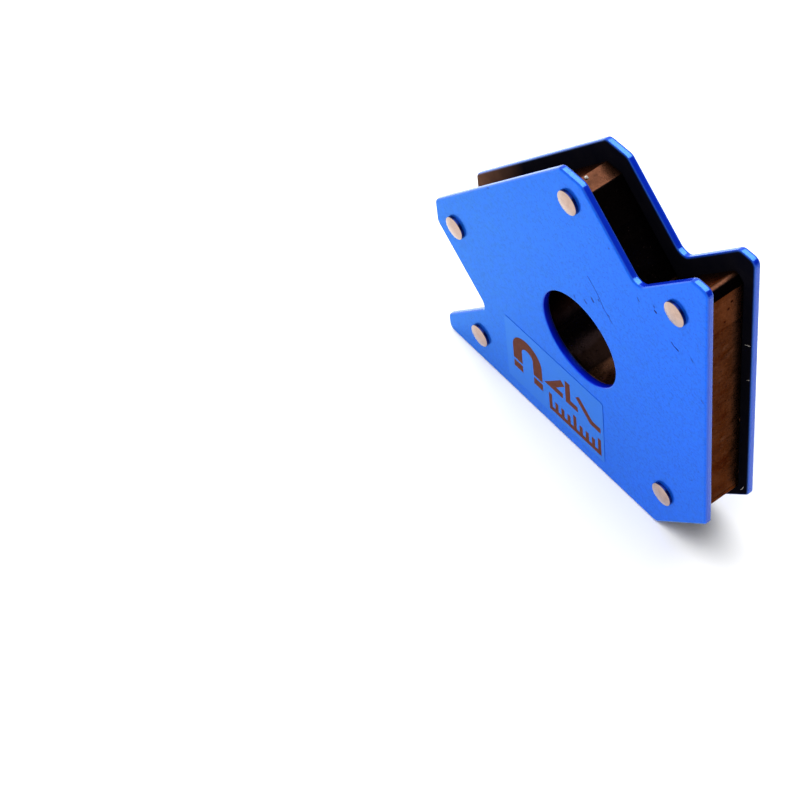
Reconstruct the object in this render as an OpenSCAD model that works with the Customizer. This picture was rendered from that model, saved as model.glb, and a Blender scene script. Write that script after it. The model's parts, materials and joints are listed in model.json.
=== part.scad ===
// Arrow-shaped magnetic holder for welding: two steel plates riveted over a ceramic magnet core.
// It stands on its long lower working edge, with the front plate towards -Y.
// The outline is drawn in a plane where u runs right from the left edge and v runs up from the
// lower edge, and it is symmetric about the line u + v = side.

/* [Outline] */
// Height and width of the plates
side = 125; // [110:1:150]
// How far the lower right corner is cut back along each working edge
corner_cut = 22.5; // [16:0.5:28]
// Width of the flat tip of each horn
horn_tip = 6.4; // [5:0.1:8]
// Depth of each right-angled notch
notch_depth = 22.4; // [18:0.1:24]
// Width of the flat on top of the crown, and of its mirror image on the left
crown_flat = 9.3; // [8:0.1:12]
// Radius at the root of each notch
notch_r = 3.6; // [1:0.1:4]
// Radius at the ends of the flats and slants
flat_r = 3; // [1:0.1:4]
// Radius at the outer corner of each horn
horn_r = 2.4; // [1:0.1:3]

/* [Plates] */
// Thickness of each plate
plate_t = 2.4; // [2:0.1:3]

/* [Centre hole] */
// Distance of the hole's centre from both working edges
hole_in = 56; // [50:0.5:58]
// Radius of the hole
bore_r = 16.5; // [12:0.1:17.5]
// Radius of the rounded lip on each outer face
lip_r = 0.5; // [0.3:0.1:1.2]

/* [Core] */
// Thickness of the core of magnets and spacers, which is the gap between the plates
core_t = 13.8; // [8:0.1:25]
// How far the core stands back from the two working edges
work_inset = 4; // [3:0.1:6]
// How far it stands back from the cut corner
corner_inset = 3.5; // [3:0.1:6]
// How far it stands back from the flat of the crown
flat_inset = 8; // [7.5:0.1:8.5]
// How far it stands back from the long slant
slant_inset = 6.2; // [5:0.1:7]
// How far it stands back from the crown's side of a notch
crown_side_inset = 7.3; // [6:0.1:8]
// How far it stands back from the horn's side of a notch
horn_side_inset = 5.5; // [5:0.1:6.5]
// How far the chamfer on the core's horn tip reaches down the working edge
horn_cut = 5.8; // [4:0.1:8]
// Width of the glued joints between the blocks
joint_w = 0.2; // [0.1:0.05:0.4]

/* [Spacers] */
// Width of the steel spacer block round each rivet
spacer_w = 30; // [29:0.5:32]
// How far a spacer reaches inwards from its rivet
spacer_back = 6; // [5:0.1:7]

/* [Rivets] */
// Radius of a rivet's shank
shank_r = 2; // [1.5:0.1:2.2]
// Radius of a rivet's head
head_r = 4; // [3.5:0.1:4.5]
// Height of a rivet's head
head_h = 1.6; // [1.2:0.1:2.2]
// How far the middle of a head is crowned above its rim
head_crown = 0.7; // [0.3:0.1:1]
// Distance of the crown's rivet below the top flat
crown_rivet_in = 10.5; // [9:0.1:12]
// Distance of the crown's rivet from the right working edge
crown_rivet_across = 56.8; // [54:0.1:60]
// Distance of a horn's rivet from the working edge beside it
horn_rivet_in = 12.4; // [10:0.1:14]
// Distance of a horn's rivet from the end of the horn
horn_rivet_back = 18.1; // [16:0.1:20]
// Distance of the corner rivet from both working edges
corner_rivet_in = 18.8; // [17:0.1:22]

/* [Label] */
// Width of the clear label on the front plate
label_w = 47; // [30:1:50]
// Height of the label
label_h = 29; // [15:1:31]
// Thickness of the label's film
label_t = 0.12; // [0.05:0.01:0.2]
// Distance of the label from the left edge of the plate
label_in = 32; // [30:0.5:36]
// Distance of the label from the lower edge of the plate
label_up = 6; // [4:0.5:7]

/* [Hidden] */
$fn = 96;

// Depth over the two plates, without the rivet heads
body_t = 2 * plate_t + core_t;
// Clearance round a rivet's shank
fit_gap = 0.1;
// Overlap that keeps a cut clear of the face it goes through
over = 1;
// Radii of the core's corners: where it is crisp, where it is worn, and on top of a horn
crisp_r = 0.4;
worn_r = 1;
horn_top_r = 1.8;
// Radius of the label's corners
label_r = 1;
// Points on each rounded corner
corner_steps = 8;

plate_blue = "royalblue";
magnet_brown = [0.30, 0.20, 0.15];
spacer_bronze = [0.62, 0.42, 0.30];
rivet_silver = [0.80, 0.78, 0.75];
label_clear = [0.45, 0.65, 0.95];

// Mirror image of a point in the line u + v = side
function mirrored_point(p) = [side - p[1], side - p[0]];

// Corners [u, v, radius] from the cut corner round to the crown, then their mirror images
function both_halves(half) = concat(half,
    [for (i = [len(half) - 1:-1:0]) concat(mirrored_point(half[i]), [half[i][2]])]);

function unit(v) = v / norm(v);

// Points on the arc that rounds corner b, between its neighbours a and c
function rounded_corner(a, b, c) =
    let (p = [b[0], b[1]],
         to_a = unit([a[0], a[1]] - p),
         to_c = unit([c[0], c[1]] - p),
         half_angle = acos(to_a * to_c) / 2,
         middle = p + unit(to_a + to_c) * b[2] / sin(half_angle),
         start = p + to_a * b[2] / tan(half_angle) - middle,
         side_of = sign(to_a[0] * to_c[1] - to_a[1] * to_c[0]),
         sweep = side_of * (180 - 2 * half_angle))
    [for (i = [0:corner_steps])
        let (angle = -sweep * i / corner_steps)
        middle + [start[0] * cos(angle) - start[1] * sin(angle),
                  start[0] * sin(angle) + start[1] * cos(angle)]];

function rounded_outline(corners) =
    [for (i = [0:len(corners) - 1], p = rounded_corner(
        corners[(i + len(corners) - 1) % len(corners)], corners[i],
        corners[(i + 1) % len(corners)])) p];

// Plate outline
crown_left = side - horn_tip - 2 * notch_depth - crown_flat;
crown_right = crown_left + crown_flat;
notch_root = [crown_right + notch_depth, side - notch_depth];
plate_corners = both_halves([
    [side, corner_cut, flat_r],
    [side, side, horn_r],
    [side - horn_tip, side, flat_r],
    [notch_root[0], notch_root[1], notch_r],
    [crown_right, side, flat_r],
    [crown_left, side, flat_r]
]);

// Core outline. Each slanted side is a line v = u + c or v = -u + c, moved in by its inset.
diagonal = sqrt(2);
slant_c = side - crown_left - slant_inset * diagonal;
crown_side_c = side + crown_right - crown_side_inset * diagonal;
horn_side_c = horn_tip - horn_side_inset * diagonal;
corner_c = side - corner_cut - corner_inset * diagonal;
core_right = side - work_inset;
core_top = side - flat_inset;
core_root = [(crown_side_c - horn_side_c) / 2, (crown_side_c + horn_side_c) / 2];
horn_point = [core_right, core_right + horn_side_c];
core_corners = both_halves([
    [core_right, core_right - corner_c, worn_r],
    [horn_point[0], horn_point[1] - horn_cut, crisp_r],
    [horn_point[0] - horn_cut / 2, horn_point[1] - horn_cut / 2, horn_top_r],
    [core_root[0], core_root[1], worn_r],
    [crown_side_c - core_top, core_top, crisp_r],
    [core_top - slant_c, core_top, crisp_r]
]);

// Centres of the hole and rivets
hole_at = [side - hole_in, hole_in];
rivet_top_at = [side - crown_rivet_across, side - crown_rivet_in];
rivet_left_at = mirrored_point(rivet_top_at);
rivet_upper_horn_at = [side - horn_rivet_in, side - horn_rivet_back];
rivet_lower_horn_at = mirrored_point(rivet_upper_horn_at);
rivet_corner_at = [side - corner_rivet_in, corner_rivet_in];
rivets_at = [rivet_top_at, rivet_left_at, rivet_upper_horn_at, rivet_lower_horn_at, rivet_corner_at];

// Direction of the upper spacers, and of the joints between the blocks out from the hole's centre
up = 90;
slant_joint = 135;
corner_joint = -45;
notch_joint = atan2(core_root[1] - hole_at[1], core_root[0] - hole_at[0]);

// Sphere that crowns the rivet heads
crown_r = (head_r * head_r + head_crown * head_crown) / (2 * head_crown);

// Stands a shape drawn in u, v up in place. Its height runs from the rear face to the front face.
module upright() {
    translate([-side / 2, body_t / 2, 0]) rotate([90, 0, 0]) children();
}

// Puts children at a point of the outline plane, from height z
module at(p, z = 0) {
    translate([p[0], p[1], z]) children();
}

// Mirror image in the line u + v = side
module mirrored() {
    translate([side / 2, side / 2, 0]) mirror([1, 1, 0]) translate([-side / 2, -side / 2, 0]) children();
}

// Cut that rounds the lip of the centre hole on the face at height 0, with the plate above it
module lip_cut() {
    at(hole_at) rotate_extrude() difference() {
        translate([bore_r - over, -over]) square([lip_r + over, lip_r + over]);
        translate([bore_r + lip_r, lip_r]) circle(lip_r);
    }
}

// One plate lying on its outer face
module plate() {
    difference() {
        linear_extrude(plate_t) polygon(rounded_outline(plate_corners));
        at(hole_at, -over) cylinder(h = plate_t + 2 * over, r = bore_r);
        lip_cut();
        for (p = rivets_at) at(p, -over) cylinder(h = plate_t + 2 * over, r = shank_r + fit_gap);
    }
}

module rear_plate() {
    color(plate_blue) upright() plate();
}

module front_plate() {
    color(plate_blue) upright() translate([0, 0, body_t]) mirror([0, 0, 1]) plate();
}

// Clear film on the front plate, under the centre hole
module label() {
    color(label_clear) upright() translate([label_in, label_up, body_t]) linear_extrude(label_t)
        polygon(rounded_outline([[0, 0, label_r], [label_w, 0, label_r],
                                 [label_w, label_h, label_r], [0, label_h, label_r]]));
}

// Sector of the core between two joint directions
module sector(from, to) {
    reach = 2 * side;
    polygon([hole_at, for (k = [0:2])
        hole_at + reach * [cos(from + (to - from) * k / 2), sin(from + (to - from) * k / 2)]]);
}

// Gap along one joint
module joint_line(direction) {
    at(hole_at) rotate(direction) translate([0, -joint_w / 2]) square([side, joint_w]);
}

// Field of a spacer, from behind its rivet outwards in a direction, with a gap round it
module spacer_field(p, direction, gap = 0) {
    at(p) rotate(direction) translate([-spacer_back - gap, -spacer_w / 2 - gap])
        square([side, spacer_w + 2 * gap]);
}

// One ceramic block: its sector of the core, less the hole, the spacers' fields and the joints
module magnet(from, to) {
    color(magnet_brown) translate([0, 0, plate_t]) linear_extrude(core_t) difference() {
        intersection() {
            polygon(rounded_outline(core_corners));
            sector(from, to);
        }
        at(hole_at) circle(bore_r);
        spacer_field(rivet_top_at, up, joint_w);
        spacer_field(rivet_upper_horn_at, up, joint_w);
        spacer_field(rivet_corner_at, corner_joint, joint_w);
        joint_line(from);
        joint_line(to);
    }
}

// Steel block that takes one rivet and fills the core's outline there
module spacer(p, direction) {
    color(spacer_bronze) translate([0, 0, plate_t]) linear_extrude(core_t) difference() {
        intersection() {
            polygon(rounded_outline(core_corners));
            spacer_field(p, direction);
        }
        at(p) circle(shank_r + fit_gap);
    }
}

module magnet_crown() { upright() magnet(notch_joint, slant_joint); }
module magnet_left() { upright() mirrored() magnet(notch_joint, slant_joint); }
module magnet_right() { upright() magnet(corner_joint, notch_joint); }
module magnet_base() { upright() mirrored() magnet(corner_joint, notch_joint); }

module spacer_top() { upright() spacer(rivet_top_at, up); }
module spacer_left() { upright() mirrored() spacer(rivet_top_at, up); }
module spacer_upper_horn() { upright() spacer(rivet_upper_horn_at, up); }
module spacer_lower_horn() { upright() mirrored() spacer(rivet_upper_horn_at, up); }
module spacer_corner() { upright() spacer(rivet_corner_at, corner_joint); }

// Crowned head with a straight rim, standing on height 0
module rivet_head() {
    intersection() {
        translate([0, 0, head_h - crown_r]) sphere(crown_r);
        cylinder(h = head_h + over, r = head_r);
    }
}

// Rivet with a head on each outer face
module rivet(p) {
    color(rivet_silver) upright() at(p) {
        cylinder(h = body_t, r = shank_r);
        translate([0, 0, body_t]) rivet_head();
        mirror([0, 0, 1]) rivet_head();
    }
}

module rivet_top() { rivet(rivet_top_at); }
module rivet_left() { rivet(rivet_left_at); }
module rivet_upper_horn() { rivet(rivet_upper_horn_at); }
module rivet_lower_horn() { rivet(rivet_lower_horn_at); }
module rivet_corner() { rivet(rivet_corner_at); }

front_plate();
rear_plate();
label();
magnet_crown();
magnet_left();
magnet_right();
magnet_base();
spacer_top();
spacer_left();
spacer_upper_horn();
spacer_lower_horn();
spacer_corner();
rivet_top();
rivet_left();
rivet_upper_horn();
rivet_lower_horn();
rivet_corner();
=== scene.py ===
"""Looks of the welding magnet holder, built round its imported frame. Lengths are in metres."""
import json
import math

import bmesh
import bpy
import numpy as np
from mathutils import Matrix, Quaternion, Vector, geometry, noise


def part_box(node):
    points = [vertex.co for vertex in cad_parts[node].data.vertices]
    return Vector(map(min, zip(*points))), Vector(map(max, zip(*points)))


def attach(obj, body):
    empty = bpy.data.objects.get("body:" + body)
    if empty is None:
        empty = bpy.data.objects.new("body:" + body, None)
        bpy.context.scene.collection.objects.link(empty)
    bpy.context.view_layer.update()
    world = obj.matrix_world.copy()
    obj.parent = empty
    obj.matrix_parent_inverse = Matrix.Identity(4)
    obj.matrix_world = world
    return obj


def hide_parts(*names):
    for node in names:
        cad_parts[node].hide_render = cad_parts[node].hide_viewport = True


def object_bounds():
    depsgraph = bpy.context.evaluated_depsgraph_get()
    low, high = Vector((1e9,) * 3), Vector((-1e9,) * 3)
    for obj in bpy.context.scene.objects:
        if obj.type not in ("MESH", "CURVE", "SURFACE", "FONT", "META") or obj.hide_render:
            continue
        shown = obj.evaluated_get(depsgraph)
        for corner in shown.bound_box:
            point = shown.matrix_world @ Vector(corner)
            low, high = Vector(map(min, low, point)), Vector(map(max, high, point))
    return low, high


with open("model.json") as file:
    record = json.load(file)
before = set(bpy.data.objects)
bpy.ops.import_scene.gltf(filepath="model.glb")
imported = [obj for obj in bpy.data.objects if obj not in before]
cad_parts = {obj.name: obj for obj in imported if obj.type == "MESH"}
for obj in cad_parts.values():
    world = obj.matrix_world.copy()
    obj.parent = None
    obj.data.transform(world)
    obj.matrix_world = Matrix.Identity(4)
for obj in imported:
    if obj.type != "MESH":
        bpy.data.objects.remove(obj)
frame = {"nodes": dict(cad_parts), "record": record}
cad_low, cad_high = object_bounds()

MM = 0.001
MAGNETS = ["magnet_crown", "magnet_left", "magnet_right", "magnet_base"]
CORNERS = ["top", "left", "upper_horn", "lower_horn", "corner"]

# Plates
EDGE_ROLL = 0.85 * MM  # radius that the press leaves round the outer face
EDGE_BREAK = 0.7 * MM  # radius round the outline of the inner face
HOLE_LIP = 0.5 * MM  # radius round the hole on the outer face
HOLE_BREAK = 0.2 * MM  # radius round the hole on the inner face
ROLL_STEPS = 7
BREAK_STEPS = 5
PIECE_CREASE = math.radians(40)  # edges that turn further than this are sharp
MITRE_LEAST = 0.5  # keeps a sharp corner from moving further than twice an inset
BORE_POINTS = 144
SHANK_POINTS = 24
PLATE_STEP = 0.8 * MM  # spacing of the points along a plate's edge
FACE_STEP = 3 * MM  # spacing of the points across a plate's face
FACE_SWAY = 0.03 * MM  # how far the face of a pressed plate wanders from flat
SWAY_DEPTH = 0.3 * MM  # points nearer than this to the outer face wander with it
SWAY_WAVE = 22 * MM
INNER_FACE = (6.9 * MM, 7.3 * MM)  # distance from the middle at which the painted shade of the inner faces fades out
END_REFLECTION = (-60 * MM, -37 * MM)  # the painted reflection of the brown core on the inner faces fades out between these x

# Centre hole
centre_hole = next(m for m in frame["record"]["mounts"] if m["name"] == "centre_hole")
BORE_MIDDLE = (centre_hole["pos_m"][0], centre_hole["pos_m"][2])
BORE_RADIUS = centre_hole["dims"]["r_mm"] * MM
BORE_GLOW_FROM = 16.7 * MM  # how far towards the lower right the painted light starts on the core's bore wall
BORE_GLOW_TO = 23 * MM

# Blocks of the core
BLOCK_STEP = 0.7 * MM  # spacing of the points along a block's outline
BLOCK_FACE_STEP = 6 * MM
BLOCK_LEAST = 0.19 * MM  # edges shorter than this are left out
BLOCK_CALM = 1.2 * MM  # no wear this close to a sharp corner
BLOCK_ROWS = 18  # rings of points between the two plates
BLOCK_BREAK = 0.15 * MM  # rounding where a block meets the plates
BLOCK_CREASE = math.radians(35)  # corners of a block that turn further than this are sharp
MAGNET_WEAR = 0.16 * MM  # depth of the worn surface
SPACER_WEAR = 0.05 * MM
WEAR_WAVE = 5 * MM
PIT_WAVE = 1.6 * MM
PIT_LEVEL = 0.35  # height of the noise above which a pit opens
PIT_DEPTH = 2.2  # how much deeper than the waves a pit goes
JOINT = 0.2 * MM  # gap that the adhesive fills between a spacer and its magnet

# Rivets
TURNED_POINTS = 72
TURNED_CREASE = math.radians(50)
HEAD_CROWN = 0.7 * MM  # height of the crown on a head
HEAD_EDGE = 0.25 * MM  # radius round the crown
HEAD_STEPS = 14
RIM_STEPS = 6
RIM_FROM = 0.35  # angle in radians at which the crown runs into the rim
SHANK_RADIUS = 2 * MM
FOOT_RISE = 0.05 * MM  # bevel where a head meets its plate
FOOT_TUCK = 0.08 * MM
HEAD_WANDER = 0.02 * MM  # unevenness of a formed head
HEAD_WAVE = 1.5 * MM

# Label film and the print on it
FILM_STEP = 2 * MM
FILM_GLUE = 0.02 * MM  # glue under the film
FILM_EDGE = 0.04 * MM  # bevel round the film
PRINT_RISE = 0.02 * MM  # how far the print stands out of the film and reaches into it
HORSESHOE = (10.5, 17.6)  # middle of the bow, x and z in millimetres from the film's lower left
HORSESHOE_BOW = 4.9
HORSESHOE_WIDTH = 4.4
HORSESHOE_ENDS = (11.6, 10.6, 7.4)  # lower end of the legs, then both ends of the poles
ANGLES = [(21.5, 45, 6.2), (30.2, 90, 4.6), (41.2, 135, 4.4)]  # corner x, degrees, length of the foot
ANGLE_FOOT = 14.6
ANGLE_ARM = 9
ANGLE_WIDTH = 2.4
SCALE_LINE = ((20.5, 3.0), (45.5, 3.0))
SCALE_WIDTH = 2.0
TICKS = 9
TICK_FIRST = 21.25
TICK_GAP = 2.94
TICK_WIDTH = 1.5
TICK_ENDS = (4.0, 7.6, 10.0)  # foot, top of a short one, top of a long one
LONG_TICK = 4  # every fourth one is long

# Nicks in the front plate's paint: width, then points x, z, in millimetres
NICKS = [
    (0.22, [(12.3, 89.4), (16.3, 85.4), (18.9, 81.4), (22.6, 77.8)]),
    (0.61, [(13.5, 81.1), (14.7, 79.9)]),
    (0.41, [(10.1, 77.4), (11.3, 76.3)]),
    (0.30, [(5.4, 75.3), (6.0, 74.2)]),
    (0.38, [(16.6, 83.1), (17.2, 82.5)]),
    (0.34, [(21.0, 80.1), (21.7, 79.8)]),
    (0.68, [(41.0, 100.0), (42.1, 99.5)]),
    (0.30, [(40.5, 101.7), (41.3, 101.1)]),
    (0.24, [(33.8, 99.1), (34.8, 97.9)]),
    (0.34, [(48.0, 92.9), (49.0, 92.0), (51.0, 91.7)]),
    (0.41, [(49.8, 91.9), (51.0, 91.5)]),
    (0.22, [(55.8, 93.5), (56.9, 92.2)]),
    (0.41, [(22.2, 109.5), (22.6, 109.1)]),
    (0.27, [(-33.2, 89.3), (-32.3, 89.2)]),
    (0.34, [(60.1, 79.0), (61.2, 78.5)]),
]
NICK_STEP = 0.5 * MM
NICK_WANDER = 0.06 * MM
NICK_WAVE = 0.9 * MM
NICK_TOP = 0.012 * MM  # how far a nick's dark strip stands out of the paint
NICK_ROOT = 0.05 * MM  # how far it reaches into it

# Adhesive: thickness, then one end, the middle and the other end, x, y, z, in millimetres
BEADS = [
    (1.1, [(3.2, -1.7, 117.0), (3.9, -1.5, 117.1), (4.4, -1.2, 117.0)]),
    (0.22, [(59.4, 6.85, 89.2), (60.9, 6.85, 90.1), (61.9, 6.85, 90.5)]),
    (0.16, [(60.6, 6.85, 75.0), (61.3, 6.85, 75.4), (61.9, 6.85, 76.1)]),
    (0.24, [(59.4, 6.88, 22.2), (60.2, 6.88, 23.6), (60.7, 6.88, 25.2)]),
]

# Studio
FLOOR_HALF = 6.0  # half of the floor's width
FLOOR_CELLS = 24
FLOOR_GAP = 0.2 * MM  # the floor lies this far under the holder
HORIZON = 0.95  # brightness of the surroundings at the horizon
SKY = 0.80  # their brightness above SKY_FROM
SKY_FROM = 0.25
SCREEN_SHADE = 0.04  # what the dark screen leaves of that brightness
SCREEN_TOWARDS = (0.78, 0.31, 0.54)  # direction of the dark screen's middle
SCREEN_EDGE = (math.cos(math.radians(58)), math.cos(math.radians(38)))  # where it fades in and is full

# Camera, which looks down on the front face from the right
CAMERA_PLACE = Vector((0.3640, -0.2785, 0.5963))
LOOK_AZIMUTH = math.radians(59.97)  # turned to the left of +Y
LOOK_DOWN = math.radians(51.35)
CAMERA_ROLL = math.radians(8.67)
CAMERA_LENS = 107.83


# ---------------------------------------------------------------- outlines in the x, z plane

def face_loops(node, depth):
    """Closed outlines of a CAD node's flat face at y = depth, longest first, with the material on
    their left."""
    mesh = frame["nodes"][node].data
    edges = {}
    for face in mesh.polygons:
        points = [mesh.vertices[i].co for i in face.vertices]
        if max(abs(p.y - depth) for p in points) > 0.01 * MM:
            continue
        keys = [(round(p.x, 6), round(p.z, 6)) for p in points]
        if signed_area(keys) < 0:
            keys.reverse()
        edges.update({(a, b): True for a, b in zip(keys, keys[1:] + keys[:1])})
    following = {a: b for a, b in edges if (b, a) not in edges}
    loops = []
    while following:
        loop = [next(iter(following))]
        while loop[-1] in following:
            loop.append(following.pop(loop[-1]))
        loops.append(np.array(loop[:-1]))
    return sorted(loops, key=lambda loop: -abs(signed_area(loop)))


def signed_area(loop):
    """Area inside the loop, positive when it runs anticlockwise."""
    points = np.array(loop)
    ahead = np.roll(points, -1, axis=0)
    return 0.5 * float(np.sum(points[:, 0] * ahead[:, 1] - ahead[:, 0] * points[:, 1]))


def divided(loop, step):
    """The loop with points added, so that none of its edges is longer than step."""
    points = []
    for a, b in zip(loop, np.roll(loop, -1, axis=0)):
        count = max(1, math.ceil(float(np.linalg.norm(b - a)) / step))
        points += [a + (b - a) * k / count for k in range(count)]
    return np.array(points)


def turns(loop):
    """Angle in radians through which the loop turns at each point."""
    back = loop - np.roll(loop, 1, axis=0)
    ahead = np.roll(loop, -1, axis=0) - loop
    cross = back[:, 0] * ahead[:, 1] - back[:, 1] * ahead[:, 0]
    return np.abs(np.arctan2(cross, np.sum(back * ahead, axis=1)))


def cleaned(loop, least):
    """The loop without edges shorter than least. The sharper end of such an edge stays."""
    while True:
        lengths = np.linalg.norm(np.roll(loop, -1, axis=0) - loop, axis=1)
        k = int(np.argmin(lengths))
        if lengths[k] >= least:
            return loop
        bend = turns(loop)
        after = (k + 1) % len(loop)
        loop = np.delete(loop, k if bend[k] < bend[after] else after, axis=0)


def from_corners(loop, reach):
    """0 at the loop's sharp corners, rising to 1 at a distance of reach from all of them."""
    sharp = loop[turns(loop) > BLOCK_CREASE]
    if not len(sharp):
        return np.ones(len(loop))
    gaps = np.linalg.norm(loop[:, None] - sharp[None], axis=2).min(axis=1)
    return np.clip(gaps / reach, 0, 1)


def circle(middle, radius, count, clockwise=False):
    """A loop of count points round the middle."""
    angles = np.arange(count) * 2 * math.pi / count * (-1 if clockwise else 1)
    return np.stack([middle[0] + radius * np.cos(angles), middle[1] + radius * np.sin(angles)], axis=1)


def inset(loop, distance):
    """The loop moved into its material by a distance, which may differ from point to point."""
    back = loop - np.roll(loop, 1, axis=0)
    ahead = np.roll(loop, -1, axis=0) - loop
    back /= np.linalg.norm(back, axis=1, keepdims=True)
    ahead /= np.linalg.norm(ahead, axis=1, keepdims=True)
    along = back + ahead
    along /= np.linalg.norm(along, axis=1, keepdims=True)
    stretch = np.maximum(np.sum(along * ahead, axis=1), MITRE_LEAST)
    sideways = np.stack([-along[:, 1], along[:, 0]], axis=1)
    return loop + sideways * (distance / stretch)[..., None]


def quarter(radius, steps):
    """Points (inset, depth) round an edge, from the face to the wall."""
    angles = [math.pi / 2 * k / steps for k in range(steps + 1)]
    return [(radius * (1 - math.sin(a)), radius * (1 - math.cos(a))) for a in angles]


# ---------------------------------------------------------------- meshes

class Shell:
    """One closed surface, put together from rings of points at set depths."""

    def __init__(self):
        self.points = []
        self.faces = []

    def ring(self, loop, depth):
        """Adds a loop at y = depth, one number or one for each point, and returns its points' numbers."""
        first = len(self.points)
        depths = np.broadcast_to(depth, len(loop))
        self.points += [(float(p[0]), float(y), float(p[1])) for p, y in zip(loop, depths)]
        return list(range(first, len(self.points)))

    def wall(self, rings):
        """Joins each ring to the next one."""
        for a, b in zip(rings, rings[1:]):
            for k in range(len(a)):
                n = (k + 1) % len(a)
                self.faces.append((a[k], a[n], b[n], b[k]))

    def face(self, rings, depth, step):
        """Closes the face between an outline and its holes with even triangles."""
        outline = np.array([self.flat(i) for i in rings[0]])
        holes = [np.array([self.flat(i) for i in ring]) for ring in rings[1:]]
        inner = lattice(outline, holes, step)
        numbers = [i for ring in rings for i in ring] + self.ring(inner, depth)
        starts = np.cumsum([0] + [len(ring) for ring in rings])
        sides = [list(range(a, b)) for a, b in zip(starts, starts[1:])]
        flat = [Vector(self.flat(i)) for i in numbers]
        _, _, faces, sources, _, owners = geometry.delaunay_2d_cdt(flat, [], sides, 1, 1e-9)
        for face, owner in zip(faces, owners):
            if len(owner) == len(sides):
                self.faces.append(tuple(numbers[sources[i][0]] for i in face))

    def flat(self, number):
        """A point's x and z."""
        x, _, z = self.points[number]
        return (x, z)

    def build(self, name, material, sharp=PIECE_CREASE):
        """Makes the object, with its faces turned outwards and its gentle edges smooth."""
        mesh = bpy.data.meshes.new(name)
        mesh.from_pydata(self.points, [], self.faces)
        work = bmesh.new()
        work.from_mesh(mesh)
        bmesh.ops.recalc_face_normals(work, faces=work.faces)
        work.to_mesh(mesh)
        work.free()
        mesh.shade_smooth()
        mesh.set_sharp_from_angle(angle=sharp)
        mesh.materials.append(material)
        piece = bpy.data.objects.new(name, mesh)
        bpy.context.scene.collection.objects.link(piece)
        return piece


def lattice(outline, holes, step):
    """Points of a triangular grid that lie inside the outline, clear of it and of its holes."""
    low = outline.min(axis=0)
    high = outline.max(axis=0)
    rise = step * math.sqrt(3) / 2
    x, z = np.meshgrid(np.arange(low[0], high[0], step), np.arange(low[1], high[1], rise))
    x[1::2] += step / 2
    grid = np.stack([x.ravel(), z.ravel()], axis=1)
    keep = within(grid, outline)
    for hole in holes:
        keep &= ~within(grid, hole)
    for loop in [outline, *holes]:
        keep &= clearance(grid, loop) > step * 0.45
    return grid[keep]


def within(grid, loop):
    """Which points of the grid lie inside the loop."""
    x, z = grid[:, 0], grid[:, 1]
    inside = np.zeros(len(grid), bool)
    for (ax, az), (bx, bz) in zip(loop, np.roll(loop, -1, axis=0)):
        if az != bz:
            inside ^= ((az > z) != (bz > z)) & (x < ax + (bx - ax) * (z - az) / (bz - az))
    return inside


def clearance(grid, loop):
    """Distance from each point of the grid to the loop."""
    nearest = np.full(len(grid), np.inf)
    for a, b in zip(loop, np.roll(loop, -1, axis=0)):
        along = np.clip(((grid - a) @ (b - a)) / max(float((b - a) @ (b - a)), 1e-18), 0, 1)
        nearest = np.minimum(nearest, np.linalg.norm(grid - a - along[:, None] * (b - a), axis=1))
    return nearest


def ripple(x, y, z, scale, octaves=3):
    """Smooth noise from about -1 to 1, with waves about scale long."""
    return noise.fractal(Vector((x, y, z)) / scale, 1.0, 2.0, octaves, noise_basis="PERLIN_ORIGINAL")


def turned(name, axis, profile, material):
    """A turned piece whose axis runs along y through (x, z). The profile is a list of (radius, y).
    It starts and ends on the axis."""
    shell = Shell()
    rings = []
    for radius, y in profile:
        if radius > 0:
            loop = circle(axis, radius, TURNED_POINTS)
            sway = [HEAD_WANDER * ripple(p[0], y, p[1], HEAD_WAVE) for p in loop]
            rings.append(shell.ring(loop, y + np.array(sway)))
        else:
            rings.append(shell.ring(np.array([axis]), y) * TURNED_POINTS)
    shell.wall(rings)
    shell.faces = [tuple(dict.fromkeys(face)) for face in shell.faces]
    return shell.build(name, material, TURNED_CREASE)


# ---------------------------------------------------------------- materials

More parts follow.
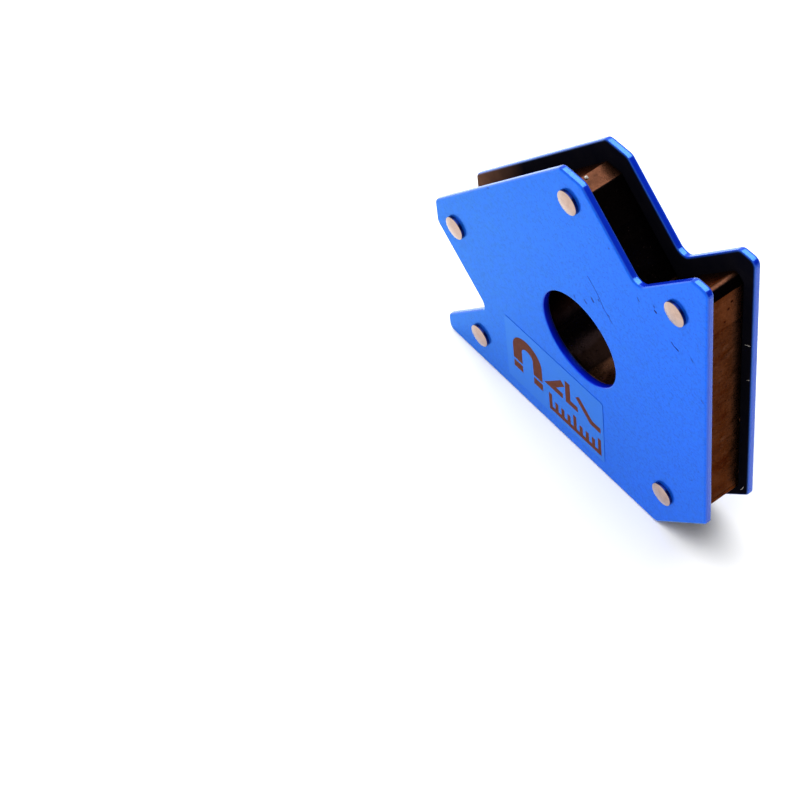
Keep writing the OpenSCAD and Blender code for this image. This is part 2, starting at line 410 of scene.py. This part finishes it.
class Paint:
    """A node material, with short calls for the nodes that the finishes share."""

    def __init__(self, name):
        self.material = bpy.data.materials.new(name)
        self.material.use_nodes = True
        self.tree = self.material.node_tree
        self.surface = self.tree.nodes["Principled BSDF"]
        self.place = self.add("TexCoord").outputs["Object"]

    def add(self, kind, inputs=None, **settings):
        """A new shader node, with its settings and inputs."""
        node = self.tree.nodes.new("ShaderNode" + kind)
        for key, value in settings.items():
            setattr(node, key, value)
        for key, value in (inputs or {}).items():
            self.put(node.inputs[key], value)
        return node

    def put(self, socket, value):
        """Links a node's output to the socket, or sets a plain value on it."""
        if isinstance(value, bpy.types.NodeSocket):
            self.tree.links.new(value, socket)
        else:
            socket.default_value = value

    def stretched(self, scale):
        """Object coordinates multiplied by a scale along each axis."""
        return self.add("Mapping", {"Vector": self.place, "Scale": scale}).outputs[0]

    def noise(self, wave, detail=3.0, rough=0.5, place=None):
        """Noise from 0 to 1 with waves of about that length."""
        return self.add("TexNoise", {
            "Vector": place or self.place, "Scale": 1 / wave, "Detail": detail, "Roughness": rough,
        }).outputs["Fac"]

    def cells(self, size):
        """Distance to the nearest point of an uneven scatter, 0 at the point."""
        return self.add("TexVoronoi", {"Vector": self.place, "Scale": 1 / size}).outputs["Distance"]

    def facing(self):
        """The surface's own direction, as x, y and z."""
        return self.add("SeparateXYZ", {0: self.add("TexCoord").outputs["Normal"]})

    def ramp(self, value, low, high, start=0.0, end=1.0):
        """The value, stretched so that low becomes start and high becomes end."""
        return self.add("MapRange", {
            "Value": value, "From Min": low, "From Max": high, "To Min": start, "To Max": end,
        }).outputs["Result"]

    def math(self, operation, a, b=0.0):
        """One sum, product or other operation on two values."""
        return self.add("Math", {0: a, 1: b}, operation=operation).outputs[0]

    def mix(self, amount, a, b):
        """Colour a where the amount is 0 and colour b where it is 1."""
        return self.add("Mix", {0: amount, 6: a, 7: b}, data_type="RGBA").outputs[2]

    def bump(self, height, depth, under=None):
        """Relief of that depth in metres, on top of any relief under it."""
        inputs = {"Height": height, "Distance": depth, "Strength": 1.0}
        if under is not None:
            inputs["Normal"] = under
        return self.add("Bump", inputs).outputs["Normal"]

    def finish(self, **values):
        """Sets the surface's inputs, and returns the material."""
        for key, value in values.items():
            self.put(self.surface.inputs[key.replace("_", " ")], value)
        return self.material


def rgb(r, g, b):
    """An opaque colour, in linear light."""
    return (r, g, b, 1.0)


def from_hole(paint, near, far):
    """Two values: 1 within near of the centre hole's wall and 0 beyond far, and 0 to 1 towards the
    hole's lower right."""
    x, z = BORE_MIDDLE
    spot = paint.add("SeparateXYZ", {0: paint.place})
    across = paint.math("SUBTRACT", spot.outputs["X"], x)
    upward = paint.math("SUBTRACT", spot.outputs["Z"], z)
    squares = paint.math("ADD", paint.math("POWER", across, 2.0), paint.math("POWER", upward, 2.0))
    wall = paint.ramp(paint.math("SQRT", squares), BORE_RADIUS + near, BORE_RADIUS + far, 1.0, 0.0)
    return wall, paint.ramp(paint.math("SUBTRACT", across, upward), BORE_GLOW_FROM, BORE_GLOW_TO)


def enamel():
    """Glossy blue enamel over pressed steel, with orange peel, dust specks and runs along the edges,
    which are duller on the upright working edge. Across the face it is lighter towards the right, a
    painted light gradient, and the edges and the wall of the hole are a deeper blue, painted shade.
    The inner faces are painted nearly black as painted shade, with a painted reflection of the brown
    core at the left end."""
    paint = Paint("blue_enamel")
    side = paint.facing()
    facing = paint.math("ABSOLUTE", side.outputs["Y"])
    wall = paint.ramp(facing, 0.45, 0.94, 1.0, 0.0)
    along = paint.add("SeparateXYZ", {0: paint.place})
    depth = paint.math("ABSOLUTE", along.outputs["Y"])

    # Outer face, edges and the wall of the hole
    # Lighter blue towards the right: a painted light gradient across the face, mixed with random clouds of
    # tone
    painted_light_and_clouds = paint.math("ADD", paint.ramp(along.outputs["X"], -50 * MM, 45 * MM, 0.15, 0.85),
                        paint.ramp(paint.noise(2.4 * MM, 4.0, 0.6), 0.3, 0.7, -0.35, 0.35))
    colour = paint.mix(painted_light_and_clouds, rgb(0.008, 0.106, 0.57), rgb(0.004, 0.103, 0.77))
    flecks = paint.ramp(paint.noise(0.9 * MM, 4.0, 0.7), 0.44, 0.74, 0.0, 0.8)
    colour = paint.mix(flecks, colour, rgb(0.005, 0.055, 0.42))
    # The edges are painted a deeper blue: painted shade on them
    colour = paint.mix(wall, colour, rgb(0.001, 0.020, 0.50))
    # The wall of the hole darkens towards the inner face: painted shade in the hole
    bore = paint.math("MULTIPLY", from_hole(paint, 0.02 * MM, 0.35 * MM)[0], wall)
    painted_hole_shade = paint.mix(paint.ramp(depth, 7.0 * MM, 9.0 * MM), rgb(0.0, 0.001, 0.05), rgb(0.0, 0.009, 0.55))
    colour = paint.mix(bore, colour, painted_hole_shade)
    dust = paint.ramp(paint.noise(0.5 * MM, 1.0), 0.69, 0.76)
    colour = paint.mix(paint.math("MULTIPLY", dust, 0.6), colour, rgb(0.005, 0.03, 0.3))

    # Inner face: painted shade, nearly black, with a painted reflection of the brown core at the left end
    inside = paint.ramp(depth, *INNER_FACE, 1.0, 0.0)
    inner_shade_and_reflection = paint.mix(paint.noise(6 * MM, 4.0), rgb(0.001, 0.0015, 0.005), rgb(0.007, 0.006, 0.008))
    bloom_and_reflection = paint.math("MULTIPLY", paint.ramp(along.outputs["X"], *END_REFLECTION, 1.0, 0.0),
                       paint.ramp(paint.noise(5 * MM, 4.0), 0.2, 0.7, 0.6, 1.0))
    inner_shade_and_reflection = paint.mix(bloom_and_reflection, inner_shade_and_reflection, rgb(0.15, 0.072, 0.045))
    colour = paint.mix(inside, colour, inner_shade_and_reflection)

    # Relief and gloss
    peel = paint.bump(paint.noise(1.3 * MM, 2.0), 0.022 * MM)
    runs = paint.noise(1.0 * MM, 3.0, place=paint.stretched((1.0, 0.12, 1.0)))
    peel = paint.bump(paint.math("MULTIPLY", runs, wall), 0.06 * MM, peel)
    rough = paint.ramp(paint.noise(8 * MM, 3.0), 0.3, 0.7, 0.16, 0.23)
    rough = paint.math("ADD", rough, paint.math("MULTIPLY", inside, 0.3))
    outside = paint.math("SUBTRACT", 1.0, inside)
    gloss = paint.math("MULTIPLY", outside, paint.ramp(wall, 0.0, 1.0, 0.06, 0.7))
    gloss = paint.math("MULTIPLY", gloss, paint.ramp(bore, 0.0, 1.0, 1.0, 0.12))
    gloss = paint.math("MULTIPLY", gloss, paint.ramp(side.outputs["X"], 0.75, 0.95, 1.0, 0.42))
    metal = paint.math("MULTIPLY", outside, paint.ramp(wall, 0.0, 1.0, 0.55, 0.20))
    return paint.finish(
        Base_Color=colour, Metallic=metal, Roughness=rough, IOR=2.0, Specular_IOR_Level=gloss,
        Specular_Tint=rgb(0.26, 0.84, 1.0), Normal=peel)


def core_finish(name, deep, bloom_and_reflection, fine_share, pit_size):
    """Ground surface of the core: nearly black, with a brown bloom and open pits."""
    paint = Paint(name)
    patches = paint.ramp(paint.noise(6 * MM, 5.0, 0.6), 0.35, 0.68)
    fine = paint.ramp(paint.noise(0.8 * MM, 4.0, 0.7), 0.3, 0.7)
    colour = paint.mix(patches, deep, bloom_and_reflection)
    colour = paint.mix(paint.math("MULTIPLY", fine, fine_share), colour, rgb(0.15, 0.062, 0.034))
    # The pits are painted near black: painted shade in them
    pits = paint.ramp(paint.cells(pit_size), 0.06, 0.16)
    colour = paint.mix(pits, rgb(0.012, 0.005, 0.003), colour)
    # The core's bore is painted near black as painted shade, with painted light towards its lower right
    bore, painted_bore_glow = from_hole(paint, 0.6 * MM, 1.2 * MM)
    bore_shade_and_glow = paint.mix(painted_bore_glow, rgb(0.004, 0.002, 0.0015), rgb(0.15, 0.062, 0.032))
    colour = paint.mix(bore, colour, bore_shade_and_glow)
    # The faces towards the notches are painted near black: painted shade on them
    side = paint.facing()
    notch_side = paint.ramp(paint.math("MULTIPLY", side.outputs["X"], side.outputs["Z"]), 0.30, 0.46)
    colour = paint.mix(notch_side, colour, rgb(0.010, 0.006, 0.006))
    relief = paint.bump(paint.noise(0.6 * MM, 5.0, 0.65), 0.03 * MM)
    relief = paint.bump(pits, 0.05 * MM, relief)
    rough = paint.ramp(fine, 0.0, 1.0, 0.34, 0.24)
    return paint.finish(
        Base_Color=colour, Metallic=1.0, Roughness=rough, Specular_Tint=rgb(0.54, 0.42, 0.40),
        Normal=relief)


def rivet_metal():
    """Pressed rivet head: pale, slightly pink metal with a few faint stains, and a painted reflection of
    the blue plate in navy on its rim.
    """
    paint = Paint("rivet_nickel")
    stain = paint.ramp(paint.noise(2.6 * MM, 3.0, 0.5), 0.45, 0.75)
    colour = paint.mix(stain, rgb(0.43, 0.305, 0.25), rgb(0.35, 0.245, 0.20))
    # The rim is painted navy: a painted reflection of the blue plate
    facing = paint.math("ABSOLUTE", paint.facing().outputs["Y"])
    colour = paint.mix(paint.ramp(facing, 0.35, 0.80, 1.0, 0.0), colour, rgb(0.020, 0.035, 0.13))
    grain = paint.noise(0.25 * MM, 3.0, 0.6)
    relief = paint.bump(grain, 0.004 * MM)
    roughness = paint.ramp(grain, 0.3, 0.7, 0.20, 0.30)
    return paint.finish(Base_Color=colour, Metallic=1.0, Roughness=roughness, Normal=relief)


def film():
    """Label film: the enamel's colour seen through it, with a faint haze."""
    paint = Paint("label_film")
    haze = paint.mix(paint.noise(3 * MM, 3.0), rgb(0.024, 0.124, 0.52), rgb(0.020, 0.120, 0.66))
    relief = paint.bump(paint.noise(1.8 * MM, 2.0), 0.004 * MM)
    rough = paint.ramp(paint.noise(5 * MM, 3.0), 0.3, 0.7, 0.20, 0.26)
    return paint.finish(
        Base_Color=haze, Metallic=0.55, Roughness=rough, IOR=2.0, Specular_IOR_Level=0.08,
        Specular_Tint=rgb(0.26, 0.84, 1.0), Normal=relief)


def ink():
    """Print on the film, a little uneven."""
    paint = Paint("label_ink")
    body = paint.mix(paint.noise(1.5 * MM, 4.0, 0.6), rgb(0.075, 0.019, 0.010), rgb(0.135, 0.042, 0.024))
    rough = paint.ramp(paint.noise(0.6 * MM, 3.0), 0.3, 0.7, 0.45, 0.65)
    return paint.finish(Base_Color=body, Roughness=rough, Specular_IOR_Level=0.02)


def glue():
    """Pale adhesive that has oozed out of the joints."""
    paint = Paint("pale_glue")
    body = paint.mix(paint.noise(0.4 * MM, 2.0), rgb(0.40, 0.37, 0.35), rgb(0.62, 0.58, 0.54))
    return paint.finish(Base_Color=body, Roughness=0.4, Specular_IOR_Level=0.4)


def scratched():
    """Paint that is scuffed down to the dark primer."""
    paint = Paint("dark_primer")
    body = paint.mix(paint.noise(0.3 * MM, 3.0), rgb(0.001, 0.005, 0.06), rgb(0.002, 0.012, 0.15))
    return paint.finish(Base_Color=body, Roughness=0.6, Specular_IOR_Level=0.05)


# ---------------------------------------------------------------- pieces

def plate(name, material):
    """Pressed plate: rolled edge round the outer face, lipped hole, and five holes for the rivets."""
    low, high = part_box(name)
    front = low.y < 0
    outer = low.y if front else high.y
    inner = high.y if front else low.y
    into = 1 if front else -1
    outline = divided(face_loops(name, inner)[0], PLATE_STEP)
    opening = circle(BORE_MIDDLE, BORE_RADIUS, BORE_POINTS, clockwise=True)
    shell = Shell()

    def edged(loop, roll, inner_roll):
        """Rings from the outer face round the loop's wall to the inner face."""
        rows = [(d, outer + into * y) for d, y in quarter(roll, ROLL_STEPS)]
        rows += [(d, inner - into * y) for d, y in reversed(quarter(inner_roll, BREAK_STEPS))]
        rings = [shell.ring(inset(loop, np.full(len(loop), d)), y) for d, y in rows]
        shell.wall(rings)
        return rings[0], rings[-1]

    ends = [edged(outline, EDGE_ROLL, EDGE_BREAK), edged(opening, HOLE_LIP, HOLE_BREAK)]
    for corner in CORNERS:
        shank = circle(rivet_axis(corner), SHANK_RADIUS, SHANK_POINTS, clockwise=True)
        pair = [shell.ring(shank, outer), shell.ring(shank, inner)]
        shell.wall(pair)
        ends.append(pair)
    shell.face([pair[0] for pair in ends], outer, FACE_STEP)
    shell.face([pair[1] for pair in ends], inner, FACE_STEP)
    shell.points = [swayed(point, outer, into) for point in shell.points]
    piece = shell.build(name + "_skin", material)
    weighted = piece.modifiers.new("even_normals", "WEIGHTED_NORMAL")
    weighted.keep_sharp = True
    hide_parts(name)
    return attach(piece, "root")


def swayed(point, outer, into):
    """A point near a plate's outer face, moved inwards by the gentle waves in the pressed face."""
    x, y, z = point
    if (y - outer) * into > SWAY_DEPTH:
        return point
    return (x, y + into * FACE_SWAY * (0.5 + 0.5 * ripple(x, 0.0, z, SWAY_WAVE)), z)


def rivet_axis(corner):
    """Where a rivet's axis crosses the x, z plane."""
    low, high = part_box("rivet_" + corner)
    return ((low.x + high.x) / 2, (low.z + high.z) / 2)


def joined(loop):
    """A spacer's outline, carried on over the joint towards the centre hole."""
    middles = (loop + np.roll(loop, -1, axis=0)) / 2
    first = int(np.argmin(np.linalg.norm(middles - np.array(BORE_MIDDLE), axis=1)))
    last = (first + 1) % len(loop)
    cut = loop[last] - loop[first]
    outward = np.array([cut[1], -cut[0]]) / np.linalg.norm(cut)
    moved = loop.copy()
    for end, beside in ((first, first - 1), (last, (last + 1) % len(loop))):
        side = loop[end] - loop[beside]
        moved[end] = loop[end] + side * JOINT / float(side @ outward)
    return moved


def block(name, kind, material, wear):
    """Block of the core, worn to a depth of wear on every side that isn't against a plate. A sawn one
    is a spacer, which reaches over its joint."""
    low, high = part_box(name)
    rows = [(BLOCK_BREAK, 0.0), (BLOCK_BREAK * 0.3, BLOCK_BREAK * 0.3)]
    inner = [(0.0, t) for t in np.linspace(BLOCK_BREAK, high.y - low.y - BLOCK_BREAK, BLOCK_ROWS)]
    tail = [(d, high.y - low.y - y) for d, y in reversed(rows)]
    shell = Shell()
    ends = []
    for place, loop in enumerate(face_loops(name, low.y)):
        loop = cleaned(loop, BLOCK_LEAST)
        if kind == "sawn" and place == 0:
            loop = joined(loop)
        outline = divided(loop, BLOCK_STEP)
        share = from_corners(outline, BLOCK_CALM)
        rings = []
        for d, y in rows + inner + tail:
            worn_in = wear * np.array([worn(p[0], low.y + y, p[1]) for p in outline])
            rings.append(shell.ring(inset(outline, d + share * (1 - d / BLOCK_BREAK) * worn_in), low.y + y))
        shell.wall(rings)
        ends.append((rings[0], rings[-1]))
    shell.face([pair[0] for pair in ends], low.y, BLOCK_FACE_STEP)
    shell.face([pair[1] for pair in ends], high.y, BLOCK_FACE_STEP)
    piece = shell.build(name + "_" + kind, material, BLOCK_CREASE)
    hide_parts(name)
    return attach(piece, "root")


def worn(x, y, z):
    """Share of the wear at a point: gentle waves, and a few pits that go deeper."""
    waves = 0.5 + 0.5 * ripple(x, y, z, WEAR_WAVE, 4)
    pits = max(0.0, ripple(x, y, z, PIT_WAVE, 2) - PIT_LEVEL)
    return max(0.0, waves) + PIT_DEPTH * pits


def rivet(corner, material):
    """Rivet with a crowned head on each side, its rim broken by a small radius."""
    low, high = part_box("rivet_" + corner)
    radius = (high.x - low.x) / 2
    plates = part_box("front_plate")[0].y
    sphere = (radius ** 2 + HEAD_CROWN ** 2) / (2 * HEAD_CROWN)
    flat = radius - HEAD_EDGE
    crown = [
        (r, low.y + sphere - math.sqrt(sphere ** 2 - r ** 2))
        for r in np.linspace(0, flat, HEAD_STEPS)
    ]
    shoulder = low.y + sphere - math.sqrt(sphere ** 2 - flat ** 2)
    edge = [
        (flat + HEAD_EDGE * math.sin(a), shoulder + HEAD_EDGE * (1 - math.cos(a)))
        for a in np.linspace(RIM_FROM, math.pi / 2, RIM_STEPS)
    ]
    foot = [(radius, plates - FOOT_RISE), (radius - FOOT_TUCK, plates), (SHANK_RADIUS, plates)]
    half = crown + edge + foot
    profile = half + [(r, -y) for r, y in reversed(half)]
    piece = turned("rivet_" + corner + "_formed", rivet_axis(corner), profile, material)
    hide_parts("rivet_" + corner)
    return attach(piece, "root")


def label(material):
    """The film, held just off the paint by its glue."""
    low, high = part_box("label")
    back = high.y - FILM_GLUE
    outline = divided(face_loops("label", high.y)[0], FILM_STEP)
    shell = Shell()
    rings = [shell.ring(inset(outline, np.full(len(outline), d)), y)
             for d, y in ((0.0, back), (0.0, low.y + FILM_EDGE), (FILM_EDGE, low.y))]
    shell.wall(rings)
    shell.face([rings[0]], back, FACE_STEP)
    shell.face([rings[-1]], low.y, FACE_STEP)
    piece = shell.build("label_film", material)
    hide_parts("label")
    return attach(piece, "root")


# ---------------------------------------------------------------- print on the label

def band(shell, points, width, top, bottom):
    """A stroke of even width along points, raised from bottom to top."""
    points = np.array(points)
    ahead = np.diff(points, axis=0)
    ahead /= np.linalg.norm(ahead, axis=1, keepdims=True)
    along = np.vstack([ahead[:1], ahead[:-1] + ahead[1:], ahead[-1:]])
    along /= np.linalg.norm(along, axis=1, keepdims=True)
    stretch = np.sum(along * np.vstack([ahead, ahead[-1:]]), axis=1)[:, None]
    side = np.stack([-along[:, 1], along[:, 0]], axis=1) * width / 2 / stretch
    loop = np.vstack([points + side, (points - side)[::-1]])
    rings = [shell.ring(loop, bottom), shell.ring(loop, top)]
    shell.wall(rings)
    count = len(points)
    for ring in rings:
        for k in range(count - 1):
            shell.faces.append((ring[k], ring[k + 1], ring[2 * count - 2 - k], ring[2 * count - 1 - k]))


def arc(middle, radius, start, end, steps=24):
    """Points along part of a circle, between two angles in degrees."""
    angles = np.radians(np.linspace(start, end, steps))
    return [(middle[0] + radius * math.cos(a), middle[1] + radius * math.sin(a)) for a in angles]


def label_print(material):
    """A generic picture: a horseshoe magnet and the three angles that the holder sets, over a scale."""
    low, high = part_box("label")
    top = low.y - PRINT_RISE
    bottom = low.y + PRINT_RISE
    shell = Shell()

    def stroke(points, width):
        """A band through points in millimetres from the film's lower left corner."""
        band(shell, [(low.x + x * MM, low.z + z * MM) for x, z in points], width * MM, top, bottom)

    left = HORSESHOE[0] - HORSESHOE_BOW
    right = HORSESHOE[0] + HORSESHOE_BOW
    leg, pole, foot = HORSESHOE_ENDS
    bow = arc(HORSESHOE, HORSESHOE_BOW, 180, 0)
    stroke([(left, leg)] + bow + [(right, leg)], HORSESHOE_WIDTH)
    for x in (left, right):
        stroke([(x, pole), (x, foot)], HORSESHOE_WIDTH)
    for x, angle, length in ANGLES:
        turn = math.radians(angle)
        tip = (x + ANGLE_ARM * math.cos(turn), ANGLE_FOOT + ANGLE_ARM * math.sin(turn))
        stroke([(x + length, ANGLE_FOOT), (x, ANGLE_FOOT), tip], ANGLE_WIDTH)
    stroke(SCALE_LINE, SCALE_WIDTH)
    base, short, long = TICK_ENDS
    for k in range(TICKS):
        x = TICK_FIRST + TICK_GAP * k
        stroke([(x, base), (x, long if k % LONG_TICK == 0 else short)], TICK_WIDTH)
    piece = shell.build("label_print", material)
    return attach(piece, "root")


# ---------------------------------------------------------------- wear and glue

def scratches(material):
    """Nicks and fine scratches in the front plate's paint, as dark strips set into it."""
    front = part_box("front_plate")[0].y
    shell = Shell()
    for width, points in NICKS:
        path = divided_path([(x * MM, z * MM) for x, z in points], NICK_STEP)
        bent = [(x + NICK_WANDER * ripple(x, 0.0, z, NICK_WAVE), z) for x, z in path]
        band(shell, bent, width * MM, front - NICK_TOP, front + NICK_ROOT)
    piece = shell.build("paint_scratches", material)
    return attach(piece, "root")


def divided_path(points, step):
    """An open path with points added, so that no part of it is longer than step."""
    path = []
    for (ax, az), (bx, bz) in zip(points, points[1:]):
        count = max(1, math.ceil(math.hypot(bx - ax, bz - az) / step))
        path += [(ax + (bx - ax) * k / count, az + (bz - az) * k / count) for k in range(count)]
    return path + [points[-1]]


def glue_beads(material):
    """Thin threads and one drop of adhesive."""
    shell = Shell()
    for thickness, points in BEADS:
        bead(shell, [Vector(p) * MM for p in points], thickness / 2 * MM)
    piece = shell.build("glue_beads", material)
    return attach(piece, "root")


def bead(shell, ends, radius, steps=12, sides=10):
    """A closed, slightly lumpy strand that narrows to a point at both ends."""
    span = ends[-1] - ends[0]
    across = span.orthogonal().normalized()
    upward = span.cross(across).normalized()
    rings = []
    for k in range(steps + 1):
        t = k / steps
        middle = ends[0].lerp(ends[1], 2 * t) if t < 0.5 else ends[1].lerp(ends[2], 2 * t - 1)
        swell = radius * math.sin(math.pi * t) ** 0.6 * (1 + 0.25 * ripple(*middle, 0.5 * MM))
        first = len(shell.points)
        if k in (0, steps):
            shell.points.append(tuple(middle))
            rings.append([first] * sides)
            continue
        for n in range(sides):
            a = 2 * math.pi * n / sides
            shell.points.append(tuple(middle + (across * math.cos(a) + upward * math.sin(a)) * swell))
        rings.append(list(range(first, first + sides)))
    shell.wall(rings)
    shell.faces = [tuple(dict.fromkeys(face)) for face in shell.faces]


# ---------------------------------------------------------------- studio

def floor():
    """Plain pale floor."""
    paint = Paint("pale_floor")
    tone = paint.mix(paint.noise(60 * MM, 2.0), rgb(0.92, 0.92, 0.92), rgb(0.95, 0.95, 0.95))
    paint.finish(Base_Color=tone, Roughness=0.7, Specular_IOR_Level=0.1)
    work = bmesh.new()
    bmesh.ops.create_grid(work, x_segments=FLOOR_CELLS, y_segments=FLOOR_CELLS, size=FLOOR_HALF)
    mesh = bpy.data.meshes.new("floor")
    work.to_mesh(mesh)
    work.free()
    mesh.materials.append(paint.material)
    piece = bpy.data.objects.new("floor", mesh)
    piece.location.z = cad_low.z - FLOOR_GAP
    bpy.context.scene.collection.objects.link(piece)


def area_light(name, place, aim, size, power):
    """A rectangular soft light at a place, turned towards aim, with a power in watts."""
    data = bpy.data.lights.new(name, "AREA")
    data.shape = "RECTANGLE"
    data.size, data.size_y = size
    data.energy = power
    lamp = bpy.data.objects.new(name, data)
    lamp.location = place
    lamp.rotation_mode = "QUATERNION"
    lamp.rotation_quaternion = (Vector(aim) - Vector(place)).to_track_quat("-Z", "Y")
    bpy.context.scene.collection.objects.link(lamp)


def surroundings():
    """Pale all round, brightest at the horizon, with a dark screen high on the right."""
    world = bpy.data.worlds.new("studio")
    bpy.context.scene.world = world
    world.use_nodes = True
    tree = world.node_tree

    def stretched(value, low, high, start, end):
        """The value, stretched so that low becomes start and high becomes end."""
        ramp = tree.nodes.new("ShaderNodeMapRange")
        for key, number in zip(("From Min", "From Max", "To Min", "To Max"), (low, high, start, end)):
            ramp.inputs[key].default_value = number
        tree.links.new(value, ramp.inputs["Value"])
        return ramp.outputs["Result"]

    place = tree.nodes.new("ShaderNodeTexCoord").outputs["Generated"]
    split = tree.nodes.new("ShaderNodeSeparateXYZ")
    tree.links.new(place, split.inputs[0])
    toward = tree.nodes.new("ShaderNodeVectorMath")
    toward.operation = "DOT_PRODUCT"
    tree.links.new(place, toward.inputs[0])
    toward.inputs[1].default_value = SCREEN_TOWARDS
    sky = stretched(split.outputs["Z"], 0.0, SKY_FROM, HORIZON, SKY)
    screen = stretched(toward.outputs["Value"], *SCREEN_EDGE, 1.0, SCREEN_SHADE)
    product = tree.nodes.new("ShaderNodeMath")
    product.operation = "MULTIPLY"
    tree.links.new(sky, product.inputs[0])
    tree.links.new(screen, product.inputs[1])
    tree.links.new(product.outputs[0], tree.nodes["Background"].inputs["Strength"])
    tree.nodes["Background"].inputs["Color"].default_value = rgb(0.96, 0.98, 1.0)


def camera():
    """The photograph's viewing angle."""
    data = bpy.data.cameras.new("camera")
    data.lens = CAMERA_LENS
    eye = bpy.data.objects.new("camera", data)
    look = Vector((
        -math.sin(LOOK_AZIMUTH) * math.cos(LOOK_DOWN),
        math.cos(LOOK_AZIMUTH) * math.cos(LOOK_DOWN),
        -math.sin(LOOK_DOWN)))
    eye.location = CAMERA_PLACE
    eye.rotation_mode = "QUATERNION"
    eye.rotation_quaternion = look.to_track_quat("-Z", "Y") @ Quaternion((0, 0, 1), -CAMERA_ROLL)
    bpy.context.scene.collection.objects.link(eye)
    bpy.context.scene.camera = eye


blue = enamel()
plate("front_plate", blue)
plate("rear_plate", blue)
stone = core_finish(
    "ferrite", deep=rgb(0.019, 0.0088, 0.006), bloom_and_reflection=rgb(0.054, 0.0232, 0.014), fine_share=0.26,
    pit_size=1.7 * MM)
for magnet in MAGNETS:
    block(magnet, "block", stone, MAGNET_WEAR)
bronze = core_finish(
    "spacer_bronze", deep=rgb(0.036, 0.014, 0.008), bloom_and_reflection=rgb(0.085, 0.031, 0.016), fine_share=0.22,
    pit_size=4.0 * MM)
nickel = rivet_metal()
for corner in CORNERS:
    block("spacer_" + corner, "sawn", bronze, SPACER_WEAR)
    rivet(corner, nickel)
label(film())
label_print(ink())

scratches(scratched())
glue_beads(glue())

floor()
surroundings()
area_light("overhead", place=(-0.20, 0.10, 0.95), aim=(-0.20, 0.10, 0.0), size=(1.25, 1.25), power=17.5)
area_light("front_fill", place=(-0.35, -1.10, 0.35), aim=(0.0, 0.0, 0.06), size=(0.8, 0.8), power=1.0)
camera()
bpy.context.scene.view_settings.view_transform = "Standard"
